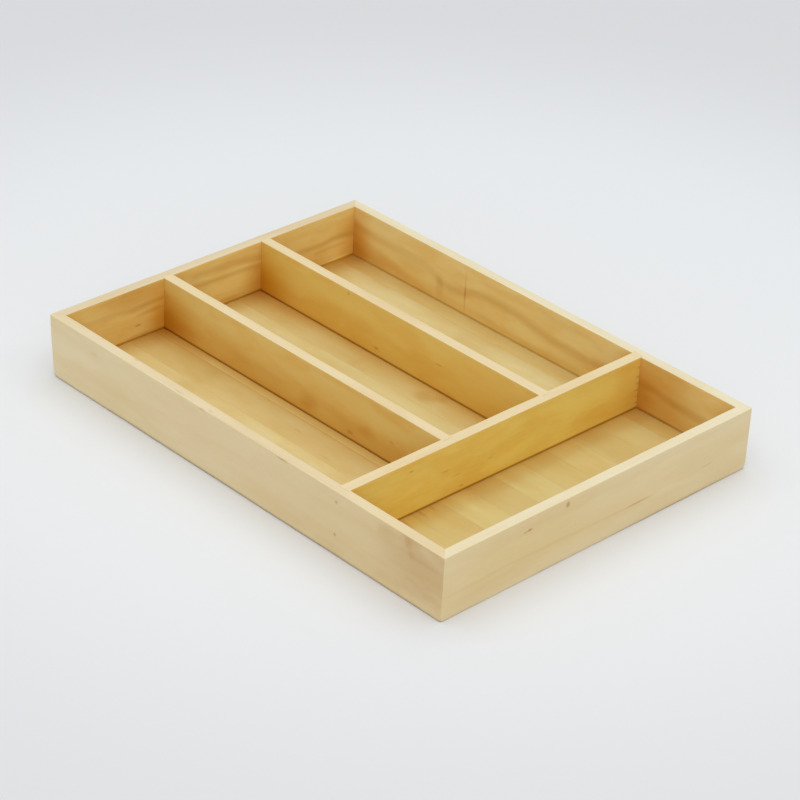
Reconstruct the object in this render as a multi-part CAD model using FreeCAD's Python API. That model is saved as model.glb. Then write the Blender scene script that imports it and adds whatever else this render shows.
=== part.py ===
"""Open wooden cutlery tray: a mitred rim, three dividers and a thin base panel glued up from strips.

Sizes are in millimetres. The origin is the centre of the footprint, on the table. X runs across the
tray, Y along it with the cross pocket at the front towards -Y, and Z up. Every piece of wood and every
group of brads is written as its own solid, so the tray can be taken apart as it was put together.
"""

import os

import FreeCAD
import Part

# Outside of the tray
tray_length = 350.0
tray_width = 256.0
tray_height = 42.5

# Thickness of the boards
rim_thickness = 7.2
divider_thickness = 7.4

# Pockets, measured between the boards
front_pocket_length = 76.3
left_pocket_width = 77.9
right_pocket_width = 74.8

# Base panel and the groove that holds it
base_thickness = 3.0
base_lift = 3.0
groove_depth = 3.0
groove_play = 0.4
base_edge_play = 0.3
strip_width = 22.5
first_strip_width = 7.0
narrowest_strip = 4.0

# Housings that hold the ends of the dividers
housing_depth = 2.0
housing_play = 0.05
housing_end_play = 0.1
divider_floor_gap = 0.3

# Eased edges
outer_edge_radius = 1.2
rim_edge_radius = 0.5
divider_edge_radius = 0.4

# Brads through the rim into the ends of the dividers
brad_length = 18.0
brad_tip_length = 1.5
brad_shank_radius = 0.6
brad_head_radius = 0.9
brad_head_height = 0.8
brad_set_depth = 0.5
brad_play = 0.02
brad_below_rim = 7.0
brad_above_table = 14.0

# How far a cutting block runs past what it cuts, and how near two places count as one
overrun = 1.0
near = 1e-6

# Levels and lines that follow from the sizes above
half_width = tray_width / 2
half_length = tray_length / 2
inner_half_width = half_width - rim_thickness
inner_half_length = half_length - rim_thickness
floor_level = base_lift + base_thickness
divider_bottom = floor_level + divider_floor_gap
panel_half_width = inner_half_width + groove_depth - base_edge_play
panel_half_length = inner_half_length + groove_depth - base_edge_play
housing_reach = housing_depth - housing_end_play
cross_front_y = -inner_half_length + front_pocket_length
cross_rear_y = cross_front_y + divider_thickness
cross_middle_y = (cross_front_y + cross_rear_y) / 2
left_divider_x = -inner_half_width + left_pocket_width
right_divider_x = inner_half_width - right_pocket_width - divider_thickness
divider_left_edges = {"left_divider": left_divider_x, "right_divider": right_divider_x}
brad_levels = [brad_above_table, tray_height - brad_below_rim]
up = FreeCAD.Vector(0, 0, 1)


def block(x_low, x_high, y_low, y_high, z_low, z_high):
    """A plain block between two corners."""
    corner = FreeCAD.Vector(x_low, y_low, z_low)
    return Part.makeBox(x_high - x_low, y_high - y_low, z_high - z_low, corner)


def edges_at_level(shape, level, reach_x, reach_y):
    """The edges that lie wholly at one level, no further out than the reach."""
    found = []
    for edge in shape.Edges:
        box = edge.BoundBox
        flat = abs(box.ZMin - level) < near and abs(box.ZMax - level) < near
        inside = max(abs(box.XMin), abs(box.XMax)) <= reach_x + near
        within = max(abs(box.YMin), abs(box.YMax)) <= reach_y + near
        if flat and inside and within:
            found.append(edge)
    return found


def upright_edges(shape):
    """The edges that run straight up."""
    found = []
    for edge in shape.Edges:
        box = edge.BoundBox
        if box.XLength < near and box.YLength < near and box.ZLength > near:
            found.append(edge)
    return found


def eased_outside():
    """The outer block of the rim, with its corners, its foot and its top edge eased."""
    outside = block(-half_width, half_width, -half_length, half_length, 0, tray_height)
    foot = edges_at_level(outside, 0, half_width, half_length)
    outside = outside.makeFillet(outer_edge_radius, upright_edges(outside) + foot)
    top = edges_at_level(outside, tray_height, half_width, half_length)
    return outside.makeFillet(rim_edge_radius, top)


def rim_ring():
    """The four rim boards in one, with the groove for the base, before the mitres are cut."""
    inside = block(
        -inner_half_width,
        inner_half_width,
        -inner_half_length,
        inner_half_length,
        -overrun,
        tray_height + overrun,
    )
    ring = eased_outside().cut(inside)
    inner_top = edges_at_level(ring, tray_height, inner_half_width, inner_half_length)
    ring = ring.makeFillet(rim_edge_radius, inner_top)
    groove = block(
        -inner_half_width - groove_depth,
        inner_half_width + groove_depth,
        -inner_half_length - groove_depth,
        inner_half_length + groove_depth,
        base_lift,
        floor_level + groove_play,
    )
    return ring.cut(groove)


def divider_housings():
    """The slots cut in the rim for the cross divider and for the rear ends of the long dividers."""
    top = tray_height + overrun
    slots = [
        block(
            -inner_half_width - housing_depth,
            inner_half_width + housing_depth,
            cross_front_y - housing_play,
            cross_rear_y + housing_play,
            divider_bottom,
            top,
        )
    ]
    for left_edge in divider_left_edges.values():
        slots.append(
            block(
                left_edge - housing_play,
                left_edge + divider_thickness + housing_play,
                cross_rear_y,
                inner_half_length + housing_depth,
                divider_bottom,
                top,
            )
        )
    return slots


def mitre_wedge(along_x, side):
    """A prism that keeps one rim board out of the ring, with its ends at 45 degrees."""
    margin = rim_thickness + groove_depth
    if along_x:
        corners = [
            (-half_width - margin, side * (half_length + margin)),
            (half_width + margin, side * (half_length + margin)),
            (half_width - margin, side * (half_length - margin)),
            (-half_width + margin, side * (half_length - margin)),
        ]
    else:
        corners = [
            (side * (half_width + margin), -half_length - margin),
            (side * (half_width + margin), half_length + margin),
            (side * (half_width - margin), half_length - margin),
            (side * (half_width - margin), -half_length + margin),
        ]
    points = [FreeCAD.Vector(x, y, -overrun) for x, y in corners]
    face = Part.Face(Part.makePolygon(points + points[:1]))
    return face.extrude(up * (tray_height + 2 * overrun))


def eased_board(x_low, x_high, y_low, y_high, along_x):
    """A divider board, standing on edge, with its two long top edges eased."""
    board = block(x_low, x_high, y_low, y_high, divider_bottom, tray_height)
    long_edges = []
    for edge in edges_at_level(board, tray_height, tray_width, tray_length):
        box = edge.BoundBox
        run = box.XLength if along_x else box.YLength
        if run > divider_thickness:
            long_edges.append(edge)
    return board.makeFillet(divider_edge_radius, long_edges)


def cross_divider():
    """The divider behind the front pocket, housed in both sides and slotted for the long dividers."""
    end = inner_half_width + housing_reach
    board = eased_board(-end, end, cross_front_y, cross_rear_y, True)
    for left_edge in divider_left_edges.values():
        slot = block(
            left_edge - housing_play,
            left_edge + divider_thickness + housing_play,
            cross_rear_y - housing_depth,
            cross_rear_y + overrun,
            divider_bottom - overrun,
            tray_height + overrun,
        )
        board = board.cut(slot)
    return board


def long_divider(left_edge):
    """One divider from the cross divider to the back end, housed in both."""
    front = cross_rear_y - housing_reach
    rear = inner_half_length + housing_reach
    return eased_board(left_edge, left_edge + divider_thickness, front, rear, False)


def base_strips():
    """The strips of the base panel, from left to right, glued edge to edge."""
    seams = [-panel_half_width]
    seam = -panel_half_width + first_strip_width
    while seam + narrowest_strip <= panel_half_width:
        seams.append(seam)
        seam += strip_width
    seams.append(panel_half_width)
    strips = {}
    for number, (left, right) in enumerate(zip(seams, seams[1:]), start=1):
        strips["base_strip_%02d" % number] = block(
            left, right, -panel_half_length, panel_half_length, base_lift, floor_level
        )
    return strips


def brad(entry, direction, play):
    """One headed brad driven along a direction from its entry point on the outer face."""
    head_radius = brad_head_radius + play
    shank_radius = brad_shank_radius + play
    head_start = entry + direction * brad_set_depth
    shank_start = head_start + direction * brad_head_height
    straight = brad_length - brad_head_height - brad_tip_length
    head = Part.makeCylinder(head_radius, brad_head_height, head_start, direction)
    shank = Part.makeCylinder(shank_radius, straight, shank_start, direction)
    tip_start = shank_start + direction * straight
    tip = Part.makeCone(shank_radius, play, brad_tip_length, tip_start, direction)
    return head.fuse([shank, tip]).removeSplitter()


def brad_hole(entry, direction):
    """The hole that a brad leaves: its own shape with play, open to the outer face."""
    outside = entry - direction * overrun
    mouth_radius = brad_head_radius + brad_play
    mouth = Part.makeCylinder(mouth_radius, overrun + brad_set_depth, outside, direction)
    return brad(entry, direction, brad_play).fuse(mouth)


def brad_entries():
    """Where each group of brads enters the rim, and which way it is driven."""
    right = FreeCAD.Vector(1, 0, 0)
    forward = FreeCAD.Vector(0, -1, 0)
    groups = {
        "cross_divider_left_brads": (-half_width, cross_middle_y, right),
        "cross_divider_right_brads": (half_width, cross_middle_y, -right),
    }
    for name, left_edge in divider_left_edges.items():
        groups[name + "_brads"] = (left_edge + divider_thickness / 2, half_length, forward)
    entries = {}
    for name, (x, y, direction) in groups.items():
        entries[name] = [(FreeCAD.Vector(x, y, level), direction) for level in brad_levels]
    return entries


def tray_pieces():
    """Every piece of the tray, by name."""
    ring = rim_ring().cut(divider_housings())
    pieces = {
        "left_side": ring.common(mitre_wedge(False, -1)),
        "right_side": ring.common(mitre_wedge(False, 1)),
        "front_end": ring.common(mitre_wedge(True, -1)),
        "back_end": ring.common(mitre_wedge(True, 1)),
        "cross_divider": cross_divider(),
    }
    for name, left_edge in divider_left_edges.items():
        pieces[name] = long_divider(left_edge)
    entries = brad_entries()
    holes = [brad_hole(*entry) for group in entries.values() for entry in group]
    for name in pieces:
        pieces[name] = pieces[name].cut(holes).removeSplitter()
    pieces.update(base_strips())
    for name, group in entries.items():
        pieces[name] = Part.makeCompound([brad(entry, direction, 0) for entry, direction in group])
    return pieces


def main():
    """Writes one STEP file for each named piece."""
    os.makedirs("parts", exist_ok=True)
    for name, shape in tray_pieces().items():
        shape.exportStep("parts/" + name + ".step")
        print(name, len(shape.Solids), "solids", round(shape.Volume, 2), "mm3", shape.isValid())


main()
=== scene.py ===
"""The cutlery tray, dressed: mitred rim, housed dividers and a glued-up base in pale pine, finished with
oil.

Every board is a section carried along its length, worked out with numpy as one grid of points, with its
arrises eased unevenly as by a sanding block. Each board has a wood of its own: growth rings round a heart
that lies outside the board, fibres, soft blotches and the few marks that this tray shows. Light and shade
are
painted into the wood too: on the tops, inside the tray, in its corners, along its seams and feet. Shapes
are measured in metres, and what lies in a material in millimetres.
"""

import sys
import logging
import math
from dataclasses import dataclass, field, replace
from enum import Enum

import bmesh
import bpy
import numpy as np
from mathutils import Matrix, Vector


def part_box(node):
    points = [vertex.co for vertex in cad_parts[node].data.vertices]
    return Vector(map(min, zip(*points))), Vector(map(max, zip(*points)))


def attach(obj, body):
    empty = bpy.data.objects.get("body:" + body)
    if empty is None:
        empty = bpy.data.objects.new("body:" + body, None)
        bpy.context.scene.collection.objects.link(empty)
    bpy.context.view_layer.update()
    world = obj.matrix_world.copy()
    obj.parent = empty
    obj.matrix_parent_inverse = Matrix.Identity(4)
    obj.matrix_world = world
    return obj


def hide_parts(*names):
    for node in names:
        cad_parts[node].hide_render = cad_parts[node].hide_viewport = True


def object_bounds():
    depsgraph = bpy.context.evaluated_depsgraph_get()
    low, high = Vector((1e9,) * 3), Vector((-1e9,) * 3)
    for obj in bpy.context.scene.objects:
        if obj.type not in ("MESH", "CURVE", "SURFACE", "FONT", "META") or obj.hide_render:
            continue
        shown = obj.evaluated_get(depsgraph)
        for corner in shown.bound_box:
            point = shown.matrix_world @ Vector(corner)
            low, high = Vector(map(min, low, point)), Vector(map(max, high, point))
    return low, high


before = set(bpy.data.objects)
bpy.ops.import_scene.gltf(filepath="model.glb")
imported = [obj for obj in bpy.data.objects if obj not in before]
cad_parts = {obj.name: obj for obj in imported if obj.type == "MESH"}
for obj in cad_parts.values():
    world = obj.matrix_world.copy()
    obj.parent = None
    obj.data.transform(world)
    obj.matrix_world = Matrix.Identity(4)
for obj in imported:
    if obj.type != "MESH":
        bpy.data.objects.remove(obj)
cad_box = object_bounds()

log = logging.getLogger("tray")
Socket = bpy.types.NodeSocket
Colour = tuple[float, float, float]
Cells = tuple[float, float, float]
Span = tuple[float, float]

MM = 0.001
FULL_TURN = 2 * math.pi

# What the sanding and the saw leave
SHARP = 0.02 * MM
HOUSING_PLAY = 0.03 * MM
UNEVENNESS = 0.35

# How the grids are laid out and when two places count as one
WAVES = 8
NEAREST_STATIONS = 0.005 * MM
JUMP_REACH = 0.01 * MM
SHARP_ARRIS_ANGLE = 38
NO_LENGTH = 1e-9

# Where one part of a board's look passes into the next, in millimetres past a face or a top
RIM_EDGE = (0.1, 0.5)
RIM_TOP_EDGE = (-0.7, -0.15)
TOP_EDGE = (-0.6, -0.15)
ARRIS_EDGE = (-1.4, -0.6)

# Tints that more than one mark or finish uses
WHITE = (1.0, 1.0, 1.0)
KNOT = (0.55, 0.36, 0.22)
BARK = (0.62, 0.44, 0.30)
TORN = (0.66, 0.46, 0.26)
SMEAR = (0.84, 0.745, 0.61)
RUSSET = (0.86, 0.70, 0.46)
SOFT = (0.90, 0.80, 0.66)
BRUISE = (0.82, 0.70, 0.53)
SCRATCH = (0.76, 0.60, 0.44)
TAN = (0.90, 0.79, 0.58)
PALE = (1.07, 1.12, 1.22)
DIM = (0.93, 0.89, 0.80)
BROWN = (0.80, 0.64, 0.44)

LONG_DIVIDERS = ("left_divider", "right_divider")


class Side(Enum):
    """The four rim boards: their node, the way they face and the axis that they run along."""

    LEFT = ("left_side", -1, "y")
    RIGHT = ("right_side", 1, "y")
    FRONT = ("front_end", -1, "x")
    BACK = ("back_end", 1, "x")

    def __init__(self, node: str, outward: int, axis: str) -> None:
        """Keeps the board's node, its facing (1 for the positive way) and its axis by name."""
        self.node, self.outward, self.axis = node, outward, axis


class Marked(Enum):
    """The side faces of a board that its marks lie on."""

    BOTH = "both"
    OUTSIDE = "outside"
    INSIDE = "inside"


@dataclass(frozen=True)
class TraySizes:
    """The tray's faces and levels, read from the frame, in metres."""

    half_width: float
    half_length: float
    height: float
    inner_half_width: float
    inner_half_length: float
    cross_front: float
    cross_rear: float
    base_bottom: float
    floor: float

    @classmethod
    def from_frame(cls) -> "TraySizes":
        """Reads the sizes from the boxes of the boards.

        Returns:
            The sizes that every class here works from.
        """
        high = cad_box[1]
        strip_low, strip_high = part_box("base_strip_01")
        cross_low, cross_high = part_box("cross_divider")
        return cls(
            half_width=high.x,
            half_length=high.y,
            height=high.z,
            inner_half_width=-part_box("left_side")[1].x,
            inner_half_length=-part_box("front_end")[1].y,
            cross_front=cross_low.y,
            cross_rear=cross_high.y,
            base_bottom=strip_low.z,
            floor=strip_high.z,
        )


def ripple(along: np.ndarray, across: np.ndarray, wave: float, seed: int) -> np.ndarray:
    """A smooth uneven field: plane waves of random length, direction and phase, added up.

    Each wave is the cosine of a full turn times (along cos t + across sin t) / length, plus its phase.

    Args:
        along: places along a board, in metres.
        across: places round its section, in metres.
        wave: the middle wavelength, in metres.
        seed: which waves are drawn.

    Returns:
        Values from about -1 to 1, shaped as the two arrays together.
    """
    draw = np.random.default_rng(seed)
    lengths = wave * draw.uniform(0.5, 2.0, WAVES)
    turns = draw.uniform(-0.6, 0.6, WAVES)
    phases = draw.uniform(0, FULL_TURN, WAVES)
    total = 0.0
    for length, turn, phase in zip(lengths, turns, phases):
        way = along * math.cos(turn) + across * math.sin(turn)
        total = total + np.cos(FULL_TURN * way / length + phase)
    return total / (WAVES / 2)


def uneven(along: np.ndarray, wave: float, seed: int) -> np.ndarray:
    """1, more or less by up to UNEVENNESS, along a board: how much the sanding took off."""
    return 1 + UNEVENNESS * ripple(along, 0 * along, wave, seed)


def jump(place: float) -> tuple[float, float, float]:
    """The fine stretch for `stations` at a place where a section changes all at once."""
    return place, JUMP_REACH, 2 * JUMP_REACH


def stations(half: float, step: float, fine: list[tuple[float, float, float]]) -> np.ndarray:
    """Places along a board from -half to half, with finer steps where they are asked for.

    Args:
        half: half the board's length.
        step: the spacing of the even places.
        fine: stretches as (middle, half width, spacing).

    Returns:
        The places, rising, none closer than NEAREST_STATIONS.
    """
    places = [np.linspace(-half, half, max(2, round(2 * half / step) + 1))]
    for middle, reach, spacing in fine:
        places.append(np.linspace(middle - reach, middle + reach, round(2 * reach / spacing) + 1))
    merged = np.sort(np.concatenate(places))
    merged = merged[(merged >= -half) & (merged <= half)]
    keep = np.concatenate([[True], np.diff(merged) > NEAREST_STATIONS])
    return merged[keep]


def closeness(along: np.ndarray, low: float, high: float, reach: float) -> np.ndarray:
    """1 between two places, falling evenly to 0 a reach outside them."""
    return 1 - np.clip(np.maximum(low - along, along - high) / reach, 0, 1)


def shares(count: int) -> np.ndarray:
    """Even shares of a run, without its two ends."""
    return np.linspace(0, 1, count + 2)[1:-1]


def by_station(count: int, columns: list[object]) -> np.ndarray:
    """Columns side by side, (count, columns), each given as one number or as one value per station."""
    return np.stack([np.broadcast_to(column, count) for column in columns], axis=1)


def corners_at(count: int, places: list[tuple[object, object]]) -> np.ndarray:
    """The corners of a section, (count, corners, 2), from its (across, up) pairs in order round it."""
    across, up = zip(*places)
    return np.stack([by_station(count, across), by_station(count, up)], axis=-1)


def eased_outline(
    corners: np.ndarray, radii: np.ndarray, steps: list[int], runs: list[np.ndarray]
) -> np.ndarray:
    """The outline of a square-cornered section with its corners eased, at every station.

    A corner between directions u (coming in) and v (going out) becomes the arc
    corner - r u + r v - r v cos t + r u sin t, with t from 0 to a right angle. Between two arcs the
    points lie on a straight run at the given shares of it.

    Args:
        corners: (stations, corners, 2), in order round the section.
        radii: (stations, corners), the easing radius of each.
        steps: arc steps of each corner, 0 for a sharp one.
        runs: shares of the run that follows each corner.

    Returns:
        (stations, points, 2).
    """
    following = np.roll(corners, -1, axis=1) - corners
    outgoing = following / np.linalg.norm(following, axis=2, keepdims=True)
    incoming = np.roll(outgoing, 1, axis=1)
    arcs = []
    for number, count in enumerate(steps):
        turn = np.linspace(0, math.pi / 2, count + 1)[None, :, None]
        radius = radii[:, number, None, None] if count else 0.0
        u, v = incoming[:, number, None], outgoing[:, number, None]
        bow = v * (1 - np.cos(turn)) - u * (1 - np.sin(turn))
        arcs.append(corners[:, number, None] + radius * bow)
    parts = []
    for number, run in enumerate(runs):
        start = arcs[number][:, -1:]
        end = arcs[(number + 1) % len(arcs)][:, :1]
        parts += [arcs[number], start + (end - start) * run[None, :, None]]
    return np.concatenate(parts, axis=1)


def pressed_in(outline: np.ndarray, depth: np.ndarray, core: list[tuple[float, float]]) -> np.ndarray:
    """Moves the points of each outline by a depth towards the nearest point of the section's core line.

    Args:
        outline: (stations, points, 2).
        depth: (stations, points), in metres.
        core: the two ends of the core line.

    Returns:
        The moved outline.
    """
    start, end = np.array(core)
    run = end - start
    share = np.clip(((outline - start) @ run) / (run @ run), 0, 1)
    inward = start + share[..., None] * run - outline
    inward /= np.maximum(np.linalg.norm(inward, axis=2, keepdims=True), NO_LENGTH)
    return outline + inward * depth[..., None]


def placed(name: str, data: bpy.types.ID) -> bpy.types.Object:
    """Puts something into the scene.

    Args:
        name: the object's name.
        data: its mesh, lamp or lens.

    Returns:
        The object.
    """
    made = bpy.data.objects.new(name, data)
    bpy.context.scene.collection.objects.link(made)
    return made


def skinned(name: str, rings: np.ndarray) -> bpy.types.Object:
    """A closed object whose skin joins each ring of points to the next, with a face on both ends.

    Args:
        name: the object's name.
        rings: (stations, points, 3), in metres, in the tray's own frame.

    Returns:
        The object, in the scene, with its faces outward and its sharp arrises marked.
    """
    count, around = rings.shape[:2]
    index = np.arange(count * around).reshape(count, around)
    near, far = index[:-1], index[1:]
    quads = np.stack([near, np.roll(near, -1, 1), np.roll(far, -1, 1), far], axis=-1).reshape(-1, 4)
    ends = [index[0][::-1].tolist(), index[-1].tolist()]
    mesh = bpy.data.meshes.new(name)
    mesh.from_pydata(rings.reshape(-1, 3), [], quads.tolist() + ends)
    turned = bmesh.new()
    turned.from_mesh(mesh)
    bmesh.ops.recalc_face_normals(turned, faces=turned.faces)
    turned.to_mesh(mesh)
    turned.free()
    mesh.polygons.foreach_set("use_smooth", np.ones(len(mesh.polygons), bool))
    mesh.set_sharp_from_angle(angle=math.radians(SHARP_ARRIS_ANGLE))
    return placed(name, mesh)


class Shade:
    """Short calls that make and wire the nodes of one material.

    A value handed to them is a number, a colour, or the socket that it comes from.
    """

    def __init__(self, name: str) -> None:
        """Starts an empty node tree.

        Args:
            name: the material's name.
        """
        self.material = bpy.data.materials.new(name)
        self.material.use_nodes = True
        self.tree = self.material.node_tree
        self.tree.nodes.clear()

    def node(self, kind: str, values: dict[object, object], **settings: object) -> bpy.types.Node:
        """Makes one node.

        Args:
            kind: its type, without the beginning that all types share.
            values: what goes into its sockets, by their names or numbers.
            settings: its own settings.

        Returns:
            The node.
        """
        made = self.tree.nodes.new("ShaderNode" + kind)
        for name, setting in settings.items():
            setattr(made, name, setting)
        for key, value in values.items():
            if isinstance(value, Socket):
                self.tree.links.new(value, made.inputs[key])
            else:
                made.inputs[key].default_value = value
        return made

    def math(self, operation: str, first: object, second: object = 0.0, third: object = 0.0) -> Socket:
        """One Math node; returns its value."""
        return self.node("Math", {0: first, 1: second, 2: third}, operation=operation).outputs[0]

    def plus(self, first: object, second: object) -> Socket:
        """The sum of two values."""
        return self.math("ADD", first, second)

    def minus(self, first: object, second: object) -> Socket:
        """One value less another."""
        return self.math("SUBTRACT", first, second)

    def times(self, first: object, second: object) -> Socket:
        """The product of two values."""
        return self.math("MULTIPLY", first, second)

    def line(self, value: object, slope: object, start: object) -> Socket:
        """A slope times a value, from a start."""
        return self.math("MULTIPLY_ADD", value, slope, start)

    def length(self, first: Socket, second: Socket) -> Socket:
        """The root of the sum of two squares."""
        return self.math("SQRT", self.plus(self.times(first, first), self.times(second, second)))

    def step(self, value: object, start: float, end: float, low: float = 0.0, high: float = 1.0) -> Socket:
        """A smooth step from low to high while the value goes from start to end."""
        values = dict(enumerate((value, start, end, low, high)))
        return self.node("MapRange", values, interpolation_type="SMOOTHSTEP").outputs[0]

    def fade(self, value: object, start: float, end: float, high: float = 1.0, low: float = 0.0) -> Socket:
        """A smooth step down, from high to low."""
        return self.step(value, start, end, high, low)

    def near(self, value: Socket, places: tuple[float, ...], reach: float) -> object:
        """How near a value is to any of some places.

        Args:
            value: the value.
            places: the places.
            reach: how far from a place it counts.

        Returns:
            1 at the places and 0 a reach away from them, as a smooth step, or plain 0 without places.
        """
        share = 0.0
        for place in places:
            far = self.math("ABSOLUTE", self.minus(value, place))
            share = self.math("MAXIMUM", share, self.fade(far, 0.0, reach))
        return share

    def mix(self, share: object, first: object, second: object, blend: str = "MIX") -> Socket:
        """Mixes two colours.

        Args:
            share: how much of the second colour there is.
            first: a colour or its socket.
            second: a colour or its socket.
            blend: the way of mixing.

        Returns:
            The mixed colour.
        """
        node = self.node("Mix", {0: share}, data_type="RGBA", blend_type=blend)
        colours = [socket for socket in node.inputs if socket.type == "RGBA"]
        for socket, value in zip(colours, (first, second)):
            if isinstance(value, Socket):
                self.tree.links.new(value, socket)
            else:
                socket.default_value = (*value, 1.0)
        return next(socket for socket in node.outputs if socket.type == "RGBA")

    def tinted(self, colour: Socket, tint: object, share: object = 1.0) -> Socket:
        """A colour times a tint, as far as the share says."""
        return self.mix(share, colour, tint, "MULTIPLY")

    def noise(self, vector: Socket, detail: float, rough: float) -> Socket:
        """A noise from 0 to 1 whose cells are one unit of the vector wide."""
        values = {"Vector": vector, "Scale": 1.0, "Detail": detail, "Roughness": rough}
        return self.node("TexNoise", values).outputs[0]

    def vector(self, x: object, y: object, z: object) -> Socket:
        """Three values as one vector."""
        return self.node("CombineXYZ", {0: x, 1: y, 2: z}).outputs[0]

    def curve(self, value: Socket, points: tuple[Span, ...]) -> Socket:
        """A smooth line through points whose two numbers lie between 0 and 1.

        Args:
            value: where on the line.
            points: the points, rising in their first number.

        Returns:
            The line's height there.
        """
        node = self.node("FloatCurve", {"Value": value})
        line = node.mapping.curves[0]
        while len(line.points) < len(points):
            line.points.new(0.5, 0.5)
        for held, place in zip(line.points, points):
            held.location = place
            held.handle_type = "AUTO"
        node.mapping.update()
        return node.outputs[0]

    def skin(self, looks: dict[object, object]) -> None:
        """Ends the material in one shader, whose sockets get the looks."""
        shader = self.node("BsdfPrincipled", looks)
        self.node("OutputMaterial", {"Surface": shader.outputs[0]})


@dataclass(frozen=True)
class Grain:
    """A board's own coordinates in a material, in millimetres: along its fibres, across and up."""

    shade: Shade
    along: Socket
    across: Socket
    up: Socket

    @classmethod
    def of(cls, shade: Shade, axis: str) -> "Grain":
        """Reads the object's coordinates and names them for a board.

        Args:
            shade: the material.
            axis: the axis that the board runs along, x or y.

        Returns:
            The board's coordinates.
        """
        place = shade.node("TexCoord", {}).outputs["Object"]
        x, y, z = (shade.times(out, 1 / MM) for out in shade.node("SeparateXYZ", {0: place}).outputs)
        return cls(shade, y, x, z) if axis == "y" else cls(shade, x, y, z)

    def noise(self, cells: Cells, shift: float = 0.0, detail: float = 2.0, rough: float = 0.5) -> Socket:
        """A noise on the board.

        Args:
            cells: the size of its cells along, across and up.
            shift: how far it is moved, so that each board gets its own.
            detail: how many finer noises it holds.
            rough: how strong these are.

        Returns:
            The noise, from 0 to 1.
        """
        moves = (shift, shift * 0.7, shift * 1.3)
        places = zip((self.along, self.across, self.up), cells, moves)
        scaled = (self.shade.line(place, 1 / cell, move) for place, cell, move in places)
        return self.shade.noise(self.shade.vector(*scaled), detail, rough)

    def inside(self, sizes: TraySizes, axis: str) -> Socket:
        """Tells what lies inside the tray.

        Args:
            sizes: the tray's sizes.
            axis: the axis that the board runs along.

        Returns:
            1 inside the rim and under its top, and 0 outside, with an edge of a few tenths.
        """
        shade = self.shade
        x, y = (self.across, self.along) if axis == "y" else (self.along, self.across)
        within = [
            shade.fade(shade.math("ABSOLUTE", place), *(limit / MM + past for past in RIM_EDGE))
            for place, limit in ((x, sizes.inner_half_width), (y, sizes.inner_half_length))
        ]
        under = shade.fade(self.up, *(sizes.height / MM + past for past in RIM_TOP_EDGE))
        return shade.times(shade.times(*within), under)


@dataclass(frozen=True)
class Fleck:
    """A soft mark on a board: a knot, a dash of bark, a bruise, a wide stretch of another tone, or a patch
    of painted shade or painted light.

    It lies at a place along the board and at a level, which is a height on the side of a board and a
    place across on its top or on a flat board. Its strength falls off with (along/wide)^2 +
    (level/tall)^2, whose edge a noise makes ragged.
    """

    along: float
    level: float
    wide: float
    tall: float
    dark: float = 0.5
    tone: Colour = KNOT
    ragged: float = 0.5
    flat: bool = False
    core: float = 0.15

    def strength(self, grain: Grain, wander: Socket) -> Socket:
        """How strongly the mark shows.

        Args:
            grain: the board's coordinates.
            wander: the noise that lines wander by.

        Returns:
            The strength at each place, from 0 to the mark's darkness.
        """
        shade = grain.shade
        level = grain.across if self.flat else grain.up
        a = shade.times(shade.minus(grain.along, self.along), 1 / self.wide)
        u = shade.times(shade.minus(level, self.level), 1 / self.tall)
        u = shade.plus(u, shade.times(wander, self.ragged))
        return shade.fade(shade.length(a, u), self.core, 1.0, self.dark)


@dataclass(frozen=True)
class Streak:
    """A dark growth line that wanders along the side of a board through a few points (along, up)."""

    wide: float
    dark: float
    tone: Colour
    path: tuple[Span, ...]
    board_height: float = 43.0
    past_end: float = 0.06
    before_end: float = 0.04
    flat: bool = False

    def strength(self, grain: Grain, wander: Socket) -> Socket:
        """How strongly the line shows: it fades over its width and about its two ends.

        Args:
            grain: the board's coordinates.
            wander: the noise that lines wander by.

        Returns:
            The strength at each place, from 0 to the line's darkness.
        """
        shade = grain.shade
        start, end = self.path[0][0], self.path[-1][0]
        span = end - start
        share = shade.times(shade.minus(grain.along, start), 1 / span)
        points = tuple(((a - start) / span, u / self.board_height) for a, u in self.path)
        level = shade.times(shade.curve(share, points), self.board_height)
        off = shade.plus(shade.minus(grain.up, level), shade.times(wander, 0.9 * self.wide))
        near = shade.fade(shade.math("ABSOLUTE", off), 0.0, self.wide, self.dark)
        begun = shade.step(share, -self.past_end, self.before_end)
        going = shade.fade(share, 1 - self.before_end, 1 + self.past_end)
        return shade.times(near, shade.times(begun, going))


Mark = Fleck | Streak


def flecks(*rows: tuple[object, ...]) -> tuple[Fleck, ...]:
    """Flecks from rows of their own values, in the order of the fields."""
    return tuple(Fleck(*row) for row in rows)


@dataclass(frozen=True)
class Nooks:
    """Where other boards meet a board inside the tray, in millimetres: where shade is painted into the
    wood.

    Upright corners lie at places along the board. Walls that stand on a flat board lie at places across
    it, from `walls_from` on along it. The seam at the foot of a board on edge lies at a height.
    """

    corners: tuple[float, ...] = ()
    walls: tuple[float, ...] = ()
    walls_from: float = 0.0
    seam: float | None = None
    reach: float = 26.0
    wall_reach: float = 14.0
    walls_fade: float = 4.0
    rise: float = 30.0
    line_width: float = 2.1
    line_core: float = 0.45
    corner_fade: Span = (10.0, 34.0)
    corner_at_top: float = 0.3

    def shares(self, grain: Grain) -> tuple[object, object, object, object]:
        """How far a place lies in each kind of nook, for the painted shade there. A corner's painted shade
        on a board on edge fades upwards.

        Args:
            grain: the board's coordinates.

        Returns:
            The shares of the painted shade of a wall, of the foot and of a corner, and of the seam's line.
        """
        shade = grain.shade
        wall = shade.near(grain.across, self.walls, self.wall_reach)
        if self.walls:
            behind = shade.step(grain.along, self.walls_from, self.walls_from + self.walls_fade)
            wall = shade.times(wall, behind)
        corner = shade.near(grain.along, self.corners, self.reach)
        if self.seam is None:
            return wall, 0.0, corner, 0.0
        above = shade.minus(grain.up, self.seam)
        foot = shade.fade(above, 0.0, self.rise)
        line = shade.fade(above, self.line_core * self.line_width, self.line_width)
        corner = shade.times(corner, shade.fade(above, *self.corner_fade, 1.0, self.corner_at_top))
        return wall, foot, corner, line


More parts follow.
